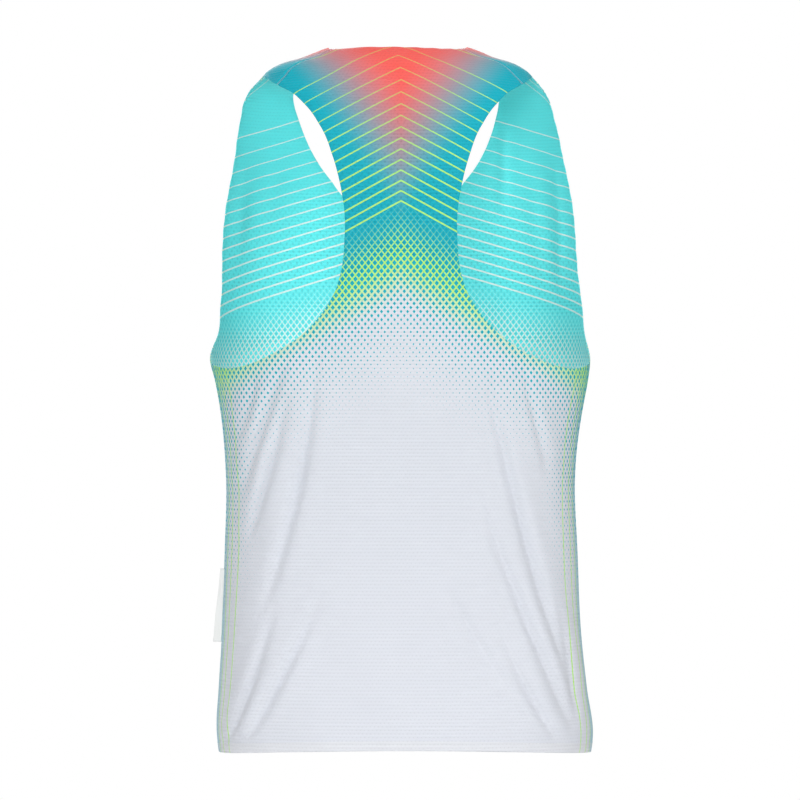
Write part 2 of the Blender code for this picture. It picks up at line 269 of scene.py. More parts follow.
# The knit, in metres. Its ribs run across, and its eyelets lie in the grooves between them
RIB_PITCH = 0.0035
EYELET_PITCH = 0.0040
EYELET_SLOPE = (0.04, 0.27)  # from its bottom out to the flat cloth, in pitches
LOOP_WIDTH = 0.00085  # one stitch of the knit
LOOP_HEIGHT = 0.00070
LOOP_SLANT = 0.9
LOOP_ROWS = 0.5  # how strongly the rows of loops show, beside their columns
LOOP_MEAN = (1 + LOOP_ROWS) / 4  # taken off their shading, so that the colour stays as bright
GROOVE_RELIEF = 0.00019
EYELET_RELIEF = 0.00022
LOOP_RELIEF = 0.00010
# Painted shade: the knit's colour is darkened in its grooves, in its eyelets and between its loops,
# where shade falls
GROOVE_PAINTED_SHADE = 0.032
EYELET_PAINTED_SHADE = 0.058
LOOP_PAINTED_SHADE = 0.10
KNIT_SHADER = {
    "Roughness": 0.62,
    "Sheen Weight": 0.14,
    "Sheen Roughness": 0.4,
    "Specular IOR Level": 0.25,
    "Subsurface Weight": 0.4,
    "Subsurface Radius": (1, 1, 1),
    "Subsurface Scale": 0.0015,
}
HEM_WHITE = (0.95, 0.94, 0.90)  # the doubled hem lets less light through and looks paler
HEM_PALENESS = 0.22

# The tape of the label and the thread
# The tape's colour runs from its lit white to a painted shade in the grooves of its weave
TAPE_PAINTED_LIT = (0.97, 0.98, 0.97)
TAPE_PAINTED_SHADE = (0.93, 0.95, 0.94)
TAPE_RIB_PITCH = 0.0008
TAPE_WARP_PITCH = 0.0005
TAPE_WARP = 0.5  # how strongly the warp shows, beside the ribs
TAPE_RELIEF = 0.0001
TAPE_SHADER = {"Roughness": 0.5, "Sheen Weight": 0.2}
THREAD_WHITE = (0.85, 0.88, 0.92)
THREAD_SHADER = {"Roughness": 0.45, "Sheen Weight": 0.3}
HEM_THREAD_PALENESS = 0.30
SEAM_THREAD_PALENESS = 0.55

# The room, in metres
FLOOR_HEIGHT = -0.95
FLOOR_RADIUS = 2.6
FLOOR_SIDES = 96
FLOOR_FADE = (0.9, 2.5)  # distances from its middle over which the floor melts into the backdrop
FLOOR_SHADER = {"Base Color": (0.85, 0.85, 0.85, 1), "Roughness": 0.9}
ROOM_LIGHT = 0.26
LAMPS = (  # name, place, aim, width, height, watts
    ("key", (-2.4, 2.2, 1.0), (0, 0, -0.35), 0.8, 0.8, 29),
    ("fill", (2.2, 2.4, 0.2), (0, 0, -0.35), 1.6, 1.6, 16),
    ("broad", (0.3, 4.4, 0.5), (0, 0, -0.35), 1.4, 1.4, 70),
    ("top", (0, 0.4, 2.2), (0, 0, -0.35), 1.5, 1.5, 16),
    ("front", (0.5, -2.4, 0.4), (0, 0, -0.25), 2.0, 2.0, 52),
)
CAMERA_PLACE = (-0.003, 6.0, -0.339)
CAMERA_TURN = (np.pi / 2, 0, np.pi)
SENSOR = 36.0
VIEW_WIDTH = 0.8  # what the picture takes in, through the origin


def columns(names, rows):
    """A table's columns, by name."""
    return dict(zip(names, np.array(rows, float).T))


FORM = columns(FORM_COLUMNS, FORM_ROWS)


def smooth(at, knots, values):
    """A smooth curve through the values at the knots."""
    tangents = np.gradient(values, knots)
    low = np.clip(np.searchsorted(knots, at, side="right") - 1, 0, len(knots) - 2)
    span = knots[low + 1] - knots[low]
    t = np.clip((at - knots[low]) / span, 0, 1)
    start = (1 + 2 * t) * (1 - t) ** 2 * values[low] + t * (1 - t) ** 2 * span * tangents[low]
    end = t**2 * (3 - 2 * t) * values[low + 1] - t**2 * (1 - t) * span * tangents[low + 1]
    return start + end


def ring(name, drop):
    """One of the form's columns at any drop."""
    return smooth(drop, FORM["drop"], FORM[name])


def spread(turn, drop):
    """How far round the ring a turn lies: its shares of the half width and of the depth."""
    angle = np.radians(turn)
    square = ring("squareness", drop)
    across = (np.sin(angle) + square * np.sin(3 * angle)) / (1 - square)
    along = (np.cos(angle) - square * np.cos(3 * angle)) / (1 - square)
    return across, along


def form(turn, drop):
    """Points of the smooth hollow form."""
    across, along = spread(turn, drop)
    depth = np.where(along > 0, ring("back_depth", drop), ring("front_depth", drop))
    back = (1 + along) / 2
    sway = back * ring("back_sway", drop) + (1 - back) * ring("front_sway", drop)
    return np.stack(
        [ring("half_width", drop) * across + sway, depth * along, REST_DROP - drop], axis=-1
    )


def outward(turn, drop):
    """The smooth form's unit normals."""
    round_body = form(turn + NORMAL_STEP, drop) - form(turn - NORMAL_STEP, drop)
    high = np.maximum(drop - NORMAL_STEP, 0)
    low = np.minimum(drop + NORMAL_STEP, HEM_DROP)
    normal = np.cross(round_body, form(turn, low) - form(turn, high))
    return normal / np.linalg.norm(normal, axis=-1, keepdims=True)


def turn_at(across, drop):
    """The turn on the back that lies this far from the middle."""
    turns = np.linspace(0, 90, TURN_SAMPLES)
    reach = ring("half_width", drop) * spread(turns, drop)[0]
    return np.interp(across, reach, turns)


def back_places(rows):
    """Places on the back, from rows of across and drop."""
    return [(turn_at(across, drop), drop) for across, drop in rows]


def front_places(rows):
    """Places on the front, from rows of across and drop."""
    return [(180 - turn_at(across, drop), drop) for across, drop in rows]


def crowded(steps):
    """Shares from 0 to 1 that lie closer together towards both ends."""
    middle = (np.arange(steps) + 0.5) / steps
    near = np.exp(-((middle / CROWD_REACH) ** 2)) + np.exp(-(((1 - middle) / CROWD_REACH) ** 2))
    gaps = 1 - CROWDING * near
    return np.concatenate([[0], np.cumsum(gaps)]) / gaps.sum()


def walk(points, steps):
    """Crowded points along a smooth curve through the given ones, ends included."""
    lengths = np.linalg.norm(np.diff(points, axis=0), axis=1)
    knots = np.concatenate([[0], np.cumsum(lengths)])
    at = knots[-1] * crowded(steps)
    return np.stack([smooth(at, knots, points[:, 0]), smooth(at, knots, points[:, 1])], axis=-1)


def between(low, high, rows):
    """Rows of places that lead from the low row to the high one."""
    t = crowded(rows)[:, None, None]
    return (1 - t) * low + t * high


def seam_drops():
    """Drops along the shoulder seam, from the neck to the armhole."""
    drops = np.linspace(NECK_END_DROP, SHOULDER_END_DROP, SEAM_SAMPLES)
    points = form(np.full_like(drops, SHOULDER_SEAM), drops)
    lengths = np.linalg.norm(np.diff(points, axis=0), axis=1)
    at = np.concatenate([[0], np.cumsum(lengths)])
    return np.interp(at[-1] * crowded(SHOULDER_QUADS), at, drops)


def hem_drop(turn):
    """The drop of the hem's edge."""
    return HEM_DROP - HEM_RISE * np.cos(np.radians(turn)) ** 2


def body_block(top):
    """The grid under a top row of places, down to the hem, whose rows follow its profile."""
    hem = np.stack([top[:, 0], hem_drop(top[:, 0])], axis=-1)
    band = [hem - (0, height) for height, _ in HEM_PROFILE]
    return np.concatenate([band[:-1], between(band[-1], top, BODY_ROWS)])


def back_blocks():
    """The back panel's grids: the body up to the armholes, and the yoke between them."""
    shoulder = (SHOULDER_SEAM, SHOULDER_END_DROP)
    side = walk(np.array([shoulder] + back_places(BACK_ARMHOLE)), BACK_YOKE_ROWS)[::-1]
    yoke_drop = side[0, 1]

    # The yoke's top row: up one shoulder seam, along the neck, down the other
    neck_share = np.linspace(-1, 1, BACK_NECK_QUADS + 1)
    top_share = np.pad(neck_share, SHOULDER_QUADS, mode="edge")
    seam = seam_drops()[1:]
    neck = np.full_like(neck_share, NECK_END_DROP)
    top_drop = np.concatenate([seam[::-1], neck, seam])
    share = 2 * crowded(len(top_share) - 1) - 1

    rise = crowded(BACK_YOKE_ROWS)[:, None]
    morph = rise**YOKE_MORPH
    turns = side[:, :1] * ((1 - morph) * share + morph * top_share)
    straight = (1 - rise) * yoke_drop + rise * SHOULDER_END_DROP
    drops = (1 - rise) * yoke_drop + rise * top_drop + side[:, 1:] - straight
    yoke = np.stack([turns, drops], axis=-1)

    # The body's top row: the yoke's lowest row, and the armhole's foot on each side of it
    foot = np.array(back_places(BACK_UNDERARM) + [(SIDE_SEAM, UNDERARM_DROP)])
    foot[0] = side[0]
    left = walk(foot, BACK_SIDE_QUADS)[1:]
    right = left[::-1] * (-1, 1)
    return [body_block(np.concatenate([right, yoke[0], left])), yoke]


def front_blocks():
    """The front panel's grids: the body, the chest up to the neck, and the two straps."""
    quads = 2 * SHOULDER_QUADS + SCOOP_QUADS
    turns = SIDE_SEAM + (360 - 2 * SIDE_SEAM) * crowded(quads)
    body_top = np.stack([turns, np.full_like(turns, UNDERARM_DROP)], axis=-1)
    side = walk(np.array([(SIDE_SEAM, UNDERARM_DROP)] + list(FRONT_UNDERARM)[::-1]), CHEST_ROWS)

    # The straps, from the chest up to the shoulder seams
    neck = [(SHOULDER_SEAM, NECK_END_DROP), NECK_CREST] + front_places(FRONT_NECK)
    inner = walk(np.array(neck), STRAP_ROWS)[::-1]
    armhole = [(SHOULDER_SEAM, SHOULDER_END_DROP)] + list(FRONT_ARMHOLE)
    outer = walk(np.array(armhole), STRAP_ROWS)[::-1]
    even = crowded(SHOULDER_QUADS)
    seam_share = (SHOULDER_END_DROP - seam_drops()[::-1]) / (SHOULDER_END_DROP - NECK_END_DROP)
    rise = crowded(STRAP_ROWS)[:, None]
    across = ((1 - rise) * even + rise * seam_share)[..., None]
    left = (1 - across) * outer[:, None] + across * inner[:, None]
    right = left[:, ::-1] * (-1, 1) + (360, 0)

    # The chest's top row: the foot of one strap, the scoop of the neck, the foot of the other
    corner = left[0, -1]
    scoop_turn = np.linspace(corner[0], 360 - corner[0], SCOOP_QUADS + 1)
    scoop_share = 1 - np.abs(np.linspace(-1, 1, SCOOP_QUADS + 1)) ** SCOOP_ROUND
    scoop_drop = corner[1] + (SCOOP_DROP - corner[1]) * scoop_share
    scoop = np.stack([scoop_turn, scoop_drop], axis=-1)
    chest_top = np.concatenate([left[0], scoop[1:-1], right[0]])

    chest = between(body_top, chest_top, CHEST_ROWS)
    swing = side - chest[:, 0]
    chest[..., 0] += swing[:, :1] * np.linspace(1, -1, quads + 1)
    chest[..., 1] += swing[:, 1:]
    return [body_block(body_top), chest, left, right]


def bump(distance, centre, width):
    """A soft hump that is 1 at its centre."""
    return np.exp(-(((distance - centre) / width) ** 2))


def side_turn(turn):
    """The turn from the centre back, 0 to 180, whichever side the place is on."""
    return np.abs((turn + 180) % 360 - 180)


def arc(start, turn, drop):
    """Lengths along the ring from one turn to another, in mm."""
    share = np.linspace(0, 1, CUT_STEPS + 1)
    turns = start[..., None] + (turn - start)[..., None] * share
    line = form(turns, np.broadcast_to(drop[..., None], turns.shape))
    return np.linalg.norm(np.diff(line, axis=-2), axis=-1).sum(axis=-1)


def fall(turn, drop, level):
    """Lengths down the cloth to a level, square to the rings, in mm."""
    share = np.linspace(0, 1, CUT_STEPS + 1)
    drops = drop[..., None] + (level - drop)[..., None] * share
    turns = np.broadcast_to(turn[..., None], drops.shape)
    step = np.diff(form(turns, drops), axis=-2)
    tangent = (form(turns + NORMAL_STEP, drops) - form(turns - NORMAL_STEP, drops))[..., 1:, :]
    tangent /= np.linalg.norm(tangent, axis=-1, keepdims=True)
    step -= (step * tangent).sum(axis=-1, keepdims=True) * tangent
    return np.linalg.norm(step, axis=-1).sum(axis=-1)


def fold_lift(place, turn, drop, folds):
    """How far folds and creases lift the cloth from the form, negative in a trough."""
    lift = np.zeros_like(drop)
    for row in folds:
        fold = dict(zip(FOLD_COLUMNS, row))
        length = fold["drop_low"] - fold["drop_top"]
        t = np.clip((drop - fold["drop_top"]) / length, 0, 1)
        swing = fold["across_low"] - fold["across_top"]
        path = fold["across_top"] + swing * t + fold["bow"] * 4 * t * (1 - t)
        slant = np.cos(np.arctan2(swing, length))
        aside = (place[..., 0] - path) * slant / fold["width"]
        ridges = bump(np.abs(aside), FOLD_RIDGE_STEP, FOLD_RIDGE_WIDTH)
        run = np.sin(np.pi * t ** (np.log(0.5) / np.log(fold["peak"])))
        lift += fold["depth"] * run * (FOLD_RIDGE_SHARE * ridges - bump(aside, 0, 1))
    facing = np.clip(np.abs(np.cos(np.radians(turn))) / FOLD_SIDE_FADE, 0, 1)
    return lift * facing**2 * (3 - 2 * facing)


def swell_lift(place):
    """The slow waves of the cloth between its folds."""
    lift = np.zeros(place.shape[:-1])
    for row in SWELLS:
        swell = dict(zip(SWELL_COLUMNS, row))
        wave = place[..., 0] / swell["across_wave"] + place[..., 2] / swell["drop_wave"]
        lift += swell["lift"] * np.sin(2 * np.pi * wave + swell["phase"])
    return lift


def seam_lift(turn, drop):
    """The cloth sinks into a seam, and the allowance inside lifts it just beside."""
    turn = side_turn(turn)
    lift = np.zeros_like(drop)
    for seam, highest, lowest in SEAM_RUNS:
        away = arc(turn, np.full_like(turn, seam), drop)
        there = (drop > highest - SEAM_REACH) & (drop < lowest + SEAM_REACH)
        shape = SEAM_WELT * bump(away, SEAM_WELT_STEP, SEAM_REACH)
        lift += there * (shape - SEAM_SINK * bump(away, 0, SEAM_REACH))
    return lift


def surface(turn, drop, folds):
    """Points of the cloth's outer face, apart from the roll of its free edges."""
    place = form(turn, drop)
    heights, lifts = np.array(HEM_PROFILE).T
    lift = fold_lift(place, turn, drop, folds) + swell_lift(place) + seam_lift(turn, drop)
    lift += np.interp(hem_drop(turn) - drop, heights, lifts)
    return place + outward(turn, drop) * lift[..., None]


def grid_quads(index):
    """The quads of a grid of vertices."""
    corners = [index[:-1, :-1], index[1:, :-1], index[1:, 1:], index[:-1, 1:]]
    return np.stack(corners, axis=-1).reshape(-1, 4)


def join_grids(blocks):
    """The places and quads of grids that meet along shared rows."""
    places, quads, found = [], [], {}
    for grid in blocks:
        index = np.empty(grid.shape[:2], int)
        for spot in np.ndindex(index.shape):
            key = tuple(np.round(grid[spot], 3))
            if key not in found:
                found[key] = len(places)
                places.append(grid[spot])
            index[spot] = found[key]
        quads.append(grid_quads(index))
    return np.array(places), np.concatenate(quads)


def open_edges(quads):
    """The directed edges that belong to one quad only."""
    edges = np.stack([quads, np.roll(quads, -1, axis=1)], axis=-1).reshape(-1, 2)
    known = set(map(tuple, edges))
    return np.array([edge for edge in edges if (edge[1], edge[0]) not in known])


def away_from_cloth(points, normals, rim):
    """At each vertex of an open sheet's rim, the direction out of the sheet in its own plane."""
    along = points[rim[:, 1]] - points[rim[:, 0]]
    out = np.zeros_like(points)
    for end in (0, 1):
        np.add.at(out, rim[:, end], np.cross(along, normals[rim[:, end]]))
    return out / np.maximum(np.linalg.norm(out, axis=-1, keepdims=True), TINY)


def add_object(name, data):
    """A new object in the scene, at the origin."""
    made = bpy.data.objects.new(name, data)
    bpy.context.scene.collection.objects.link(made)
    return made


def shell(name, outer, inner, quads, bulge, maps, finishes):
    """A closed thin wall with a rounded rim. The maps are vertex coordinates for its finishes."""
    count = len(outer)
    rim = open_edges(quads)
    ends, spots = np.unique(rim, return_inverse=True)
    middle = (outer[ends] + inner[ends]) / 2 + bulge[ends]
    points = np.concatenate([outer, inner, middle])
    start, end = rim.T
    middle_start, middle_end = spots.reshape(rim.shape).T + 2 * count
    outer_rim = np.stack([end, start, middle_start, middle_end], axis=-1)
    inner_rim = np.stack([middle_end, middle_start, start + count, end + count], axis=-1)
    faces = np.concatenate([quads, outer_rim, inner_rim, quads[:, ::-1] + count])

    mesh = bpy.data.meshes.new(name)
    mesh.from_pydata(points * MM, [], faces)
    cloth_vertex = np.concatenate([np.arange(count), np.arange(count), ends])
    owner = np.empty(len(mesh.loops), np.int32)
    mesh.loops.foreach_get("vertex_index", owner)
    for label, values in maps.items():
        layer = mesh.uv_layers.new(name=label)
        spread_out = values[cloth_vertex[owner]] * MM
        layer.uv.foreach_set("vector", spread_out.astype(np.float32).ravel())
    for finish in finishes:
        mesh.materials.append(finish)
    inside = np.arange(len(faces)) >= len(quads) + len(rim)
    mesh.polygons.foreach_set("material_index", (inside * (len(finishes) - 1)).astype(np.int32))
    mesh.shade_smooth()
    return add_object(name, mesh)


def cut_maps(turn, drop, centre):
    """Where places lie on the flat cut: from its middle line and up, and from its side seam."""
    middle = np.full_like(turn, centre)
    across = arc(middle, turn, drop)
    side = arc(middle, np.full_like(turn, SIDE_SEAM), drop)
    up = fall(middle, np.maximum(drop, LEVEL_KNIT_DROP), HEM_DROP)
    up += fall(turn, np.minimum(drop, LEVEL_KNIT_DROP), LEVEL_KNIT_DROP)
    return {
        CUT_MAP: np.stack([np.sign(turn - centre) * across, up], axis=-1),
        SIDE_MAP: np.stack([side - across, hem_drop(turn) - drop], axis=-1),
    }


def panel(name, blocks, folds, centre, finishes):
    """A cut piece of cloth over its grids, with its free edges rolled in."""
    places, quads = join_grids(blocks)
    turn, drop = places.T
    outer = surface(turn, drop, folds)
    normals = outward(turn, drop)
    rim = open_edges(quads)

    # Free edges are those of the neck and armholes: neither seam nor hem
    ends = np.unique(rim)
    seam_turns = [seam for seam, _, _ in SEAM_RUNS]
    sewn = np.isclose(side_turn(turn[ends])[:, None], seam_turns).any(axis=1)
    free = ends[~sewn & ~np.isclose(drop[ends], hem_drop(turn[ends]))]
    tree = KDTree(len(free))
    for index, point in enumerate(outer[free]):
        tree.insert(point, index)
    tree.balance()
    distance = np.array([tree.find(point)[2] for point in outer])
    wave = np.sin(2 * np.pi * outer.sum(axis=-1) / ROLL_WAVE_LENGTH)
    roll = ROLL_DEPTH * (1 + ROLL_WAVE * wave) * bump(distance, 0, ROLL_REACH)
    outer -= normals * roll[:, None]

    height = hem_drop(turn) - drop
    doubled = HEM_LAYER * (height < HEM_BAND)
    inner = outer - normals * (WALL + doubled)[:, None]
    bulge = np.zeros_like(outer)
    round_ends = ends[~sewn]
    bulge[round_ends] = RIM_BULGE * away_from_cloth(outer, normals, rim)[round_ends]

    return shell(name, outer, inner, quads, bulge, cut_maps(turn, drop, centre), finishes)


def folded_label(finish):
    """The tab in the left side seam: a tape folded in two, whose cut ends are in the seam."""
    drops = np.linspace(LABEL_TOP_DROP + LABEL_LENGTH, LABEL_TOP_DROP, LABEL_ROWS + 1)
    turns = np.full_like(drops, SIDE_SEAM)
    root = form(turns, drops) + outward(turns, drops) * SEAM_CLEARANCE
    lean = np.radians(LABEL_LEAN)
    out = np.array([np.cos(lean), -np.sin(lean), 0])
    back = np.array([np.sin(lean), np.cos(lean), 0])

    # The section runs out along the back layer, round the fold and in along the front layer
    radius = (LABEL_GAP + LABEL_PLY) / 2
    share = (drops - LABEL_TOP_DROP) / LABEL_LENGTH
    reach = LABEL_WIDTH_TOP + (LABEL_WIDTH_LOW - LABEL_WIDTH_TOP) * share - radius
    flat = np.linspace(0, 1, LABEL_COLUMNS + 1)
    turning = np.radians(np.linspace(90, -90, LABEL_FOLD_STEPS + 1))
    along = np.concatenate([flat, np.ones(LABEL_FOLD_STEPS - 1), flat[::-1]])
    angle = np.concatenate([
        np.full(LABEL_COLUMNS, turning[0]), turning, np.full(LABEL_COLUMNS, turning[-1])
    ])
    facing = np.cos(angle)[:, None] * out + np.sin(angle)[:, None] * back
    centre = root[:, None] + (reach[:, None] * along)[..., None] * out + facing * radius
    centre += back * (LABEL_PLY + LABEL_GAP / 2)
    wave = LABEL_WAVE * np.sin(2 * np.pi * drops / LABEL_WAVE_LENGTH)
    centre += (wave[:, None] * along**2)[..., None] * back

    rows, steps = centre.shape[:2]
    quads = grid_quads(np.arange(rows * steps).reshape(rows, steps))
    normals = np.broadcast_to(facing, centre.shape).reshape(-1, 3)
    points = centre.reshape(-1, 3)
    lengths = np.linalg.norm(np.diff(centre[0], axis=0), axis=1)
    run = np.concatenate([[0], np.cumsum(lengths)])
    grid = np.stack(np.broadcast_arrays(run, -drops[:, None]), axis=-1).reshape(-1, 2)
    half = normals * LABEL_PLY / 2
    rim = np.zeros_like(points)
    return shell("side_tab", points + half, points - half, quads, rim, {CUT_MAP: grid}, [finish])


def stitch_tree():
    """Nodes that lay one arched stitch of thread at every pitch along a path."""
    tree = bpy.data.node_groups.new("stitches", "GeometryNodeTree")
    ends = tree.interface
    ends.new_socket("Path", in_out="INPUT", socket_type="NodeSocketGeometry")
    for name in STITCH_SIZES:
        ends.new_socket(name, in_out="INPUT", socket_type="NodeSocketFloat")
    ends.new_socket("Thread", in_out="INPUT", socket_type="NodeSocketMaterial")
    ends.new_socket("Stitches", in_out="OUTPUT", socket_type="NodeSocketGeometry")

    def add(kind, **settings):
        node = tree.nodes.new(kind)
        for name, value in settings.items():
            setattr(node, name, value)
        return node

    def join(source, target):
        tree.links.new(source, target)

    def times(socket, factor):
        node = add("ShaderNodeMath", operation="MULTIPLY")
        join(socket, node.inputs[0])
        node.inputs[1].default_value = factor
        return node.outputs[0]

    def named(attribute):
        node = add("GeometryNodeInputNamedAttribute", data_type="FLOAT_VECTOR")
        node.inputs["Name"].default_value = attribute
        return node.outputs["Attribute"]

    given = add("NodeGroupInput").outputs
    curve = add("GeometryNodeMeshToCurve")
    join(given["Path"], curve.inputs["Mesh"])
    even = add("GeometryNodeResampleCurve", mode="LENGTH")
    join(curve.outputs["Curve"], even.inputs["Curve"])
    join(given["Pitch"], even.inputs["Length"])

    # One stitch: it dips into the cloth at both ends
    start = add("ShaderNodeCombineXYZ")
    join(times(given["Length"], -0.5), start.inputs["X"])
    join(times(given["Arch"], -1), start.inputs["Z"])
    middle = add("ShaderNodeCombineXYZ")
    join(given["Arch"], middle.inputs["Z"])
    end = add("ShaderNodeCombineXYZ")
    join(times(given["Length"], 0.5), end.inputs["X"])
    join(times(given["Arch"], -1), end.inputs["Z"])
    arch = add("GeometryNodeCurveQuadraticBezier")
    arch.inputs["Resolution"].default_value = STITCH_STEPS
    for node, name in ((start, "Start"), (middle, "Middle"), (end, "End")):
        join(node.outputs["Vector"], arch.inputs[name])
    strand = add("GeometryNodeCurvePrimitiveCircle")
    strand.inputs["Resolution"].default_value = STITCH_SIDES
    join(given["Width"], strand.inputs["Radius"])
    thread = add("GeometryNodeCurveToMesh")
    thread.inputs["Fill Caps"].default_value = True
    join(arch.outputs["Curve"], thread.inputs["Curve"])
    join(strand.outputs["Curve"], thread.inputs["Profile Curve"])

    upright = add("FunctionNodeAlignRotationToVector", axis="Z")
    join(named("up"), upright.inputs["Vector"])
    headed = add("FunctionNodeAlignRotationToVector", axis="X", pivot_axis="Z")
    join(upright.outputs["Rotation"], headed.inputs["Rotation"])
    join(named("heading"), headed.inputs["Vector"])
    placed = add("GeometryNodeInstanceOnPoints")
    join(even.outputs["Curve"], placed.inputs["Points"])
    join(thread.outputs["Mesh"], placed.inputs["Instance"])
    join(headed.outputs["Rotation"], placed.inputs["Rotation"])
    real = add("GeometryNodeRealizeInstances")
    join(placed.outputs["Instances"], real.inputs["Geometry"])
    dyed = add("GeometryNodeSetMaterial")
    join(real.outputs["Geometry"], dyed.inputs["Geometry"])
    join(given["Thread"], dyed.inputs["Material"])
    join(dyed.outputs["Geometry"], add("NodeGroupOutput").inputs["Stitches"])
    return tree


def stitch_line(turn, drop, folds, centre, across=False):
    """What the stitches need to know along a line of places. Those across a seam bridge it."""
    up = outward(turn, drop)
    points = surface(turn, drop, folds) + up * SEAM_BRIDGE * across
    heading = np.gradient(points, axis=0)
    if across:
        heading = np.cross(up, heading) + SLANT * heading
    maps = cut_maps(turn, drop, centre)
    flat = np.zeros((len(points), 1))
    maps = {name: np.hstack([values * MM, flat]) for name, values in maps.items()}
    return {"points": points * MM, "up": up, "heading": heading, **maps}


def stitches(name, tree, lines, sizes, thread):
    """A piece made of the stitches along all of the lines."""
    mesh = bpy.data.meshes.new(name)
    starts = np.cumsum([0] + [len(line["points"]) for line in lines])
    edges = [
        (spot, spot + 1)
        for first, last in zip(starts[:-1], starts[1:])
        for spot in range(first, last - 1)
    ]
    mesh.from_pydata(np.concatenate([line["points"] for line in lines]), edges, [])
    for label in ("up", "heading", CUT_MAP, SIDE_MAP):
        layer = mesh.attributes.new(label, "FLOAT_VECTOR", "POINT")
        values = np.concatenate([line[label] for line in lines])
        layer.data.foreach_set("vector", values.astype(np.float32).ravel())
    path = add_object(name + "_path", mesh)
    nodes = path.modifiers.new("stitches", "NODES")
    nodes.node_group = tree
    inputs = {item.name: item.identifier for item in tree.interface.items_tree}
    for label, value in zip(STITCH_SIZES, sizes):
        nodes[inputs[label]] = value
    nodes[inputs["Thread"]] = thread
    ready = path.evaluated_get(bpy.context.evaluated_depsgraph_get())
    made = add_object(name, bpy.data.meshes.new_from_object(ready))
    bpy.data.objects.remove(path)
    made.data.shade_smooth()
    return made


def sewing(tree, back_thread, front_thread, seam_thread):
    """The twin rows round the hem and the stitches over the seams."""
    pieces = []
    for name, low, high, folds, centre, thread in (
        ("back_hem_stitches", -SIDE_SEAM, SIDE_SEAM, BACK_FOLDS, CENTRE_BACK, back_thread),
        ("front_hem_stitches", SIDE_SEAM, 360 - SIDE_SEAM, FRONT_FOLDS, CENTRE_FRONT, front_thread),
    ):
        turn = np.linspace(low, high, STITCH_PATH_POINTS)
        lines = [
            stitch_line(turn, hem_drop(turn) - height, folds, centre)
            for height in HEM_STITCH_HEIGHTS
        ]
        pieces.append(stitches(name, tree, lines, HEM_STITCH, thread))
    lines = []
    for seam, highest, lowest in SEAM_RUNS:
        for side in (-1, 1):
            drop = np.linspace(max(highest, NECK_END_DROP), lowest, STITCH_PATH_POINTS)
            turn = np.full_like(drop, side * seam)
            drop = np.minimum(drop, hem_drop(turn))
            lines.append(stitch_line(turn, drop, BACK_FOLDS, CENTRE_BACK, across=True))
    pieces.append(stitches("seam_stitches", tree, lines, SEAM_STITCH, seam_thread))
    return pieces


class Number:
    """A number that a material's nodes work out. Arithmetic on it adds Math nodes."""

    def __init__(self, tree, socket):
        self.tree = tree
        self.socket = socket

    def math(self, operation, *others):
        node = self.tree.nodes.new("ShaderNodeMath")
        node.operation = operation
        for slot, term in zip(node.inputs, (self, *others)):
            if isinstance(term, Number):
                self.tree.links.new(term.socket, slot)
            else:
                slot.default_value = term
        return Number(self.tree, node.outputs[0])

    def __add__(self, other):
        return self.math("ADD", other)

    def __sub__(self, other):
        return self.math("SUBTRACT", other)

    def __mul__(self, other):
        return self.math("MULTIPLY", other)

    def __truediv__(self, other):
        return self.math("DIVIDE", other)

    def below(self, other):
        return self.math("LESS_THAN", other)

    def above(self, other):
        return self.math("GREATER_THAN", other)

    def size(self):
        return self.math("ABSOLUTE")

    def larger(self, other):
        return self.math("MAXIMUM", other)

    def from_middle(self, pitch):
        """Distance from the middle of the repeat that the number is in, in repeats, 0 to 0.5."""
        return ((self / pitch).math("FRACT") - 0.5).size()

    def ramp(self, start, end, low=0.0, high=1.0):
        """A soft change from low at start to high at end."""
        node = self.tree.nodes.new("ShaderNodeMapRange")
        node.interpolation_type = "SMOOTHSTEP"
        self.tree.links.new(self.socket, node.inputs["Value"])
        limits = {"From Min": start, "From Max": end, "To Min": low, "To Max": high}
        for name, value in limits.items():
            node.inputs[name].default_value = value
        return Number(self.tree, node.outputs["Result"])


def blend(tree, share, first, second):
    """A colour between two, each a tuple or a socket."""
    node = tree.nodes.new("ShaderNodeMix")
    node.data_type = "RGBA"
    if isinstance(share, Number):
        tree.links.new(share.socket, node.inputs["Factor"])
    else:
        node.inputs["Factor"].default_value = share
    for name, colour in (("A", first), ("B", second)):
        slot = next(s for s in node.inputs if s.name == name and s.type == "RGBA")
        if isinstance(colour, bpy.types.NodeSocket):
            tree.links.new(colour, slot)
        else:
            slot.default_value = (*colour, 1)
    return next(s for s in node.outputs if s.type == "RGBA")


def map_numbers(tree, name):
    """The two numbers of one of the cloth's maps."""
    source = tree.nodes.new("ShaderNodeAttribute")
    source.attribute_name = name
    split = tree.nodes.new("ShaderNodeSeparateXYZ")
    tree.links.new(source.outputs["Vector"], split.inputs["Vector"])
    return Number(tree, split.outputs["X"]), Number(tree, split.outputs["Y"])


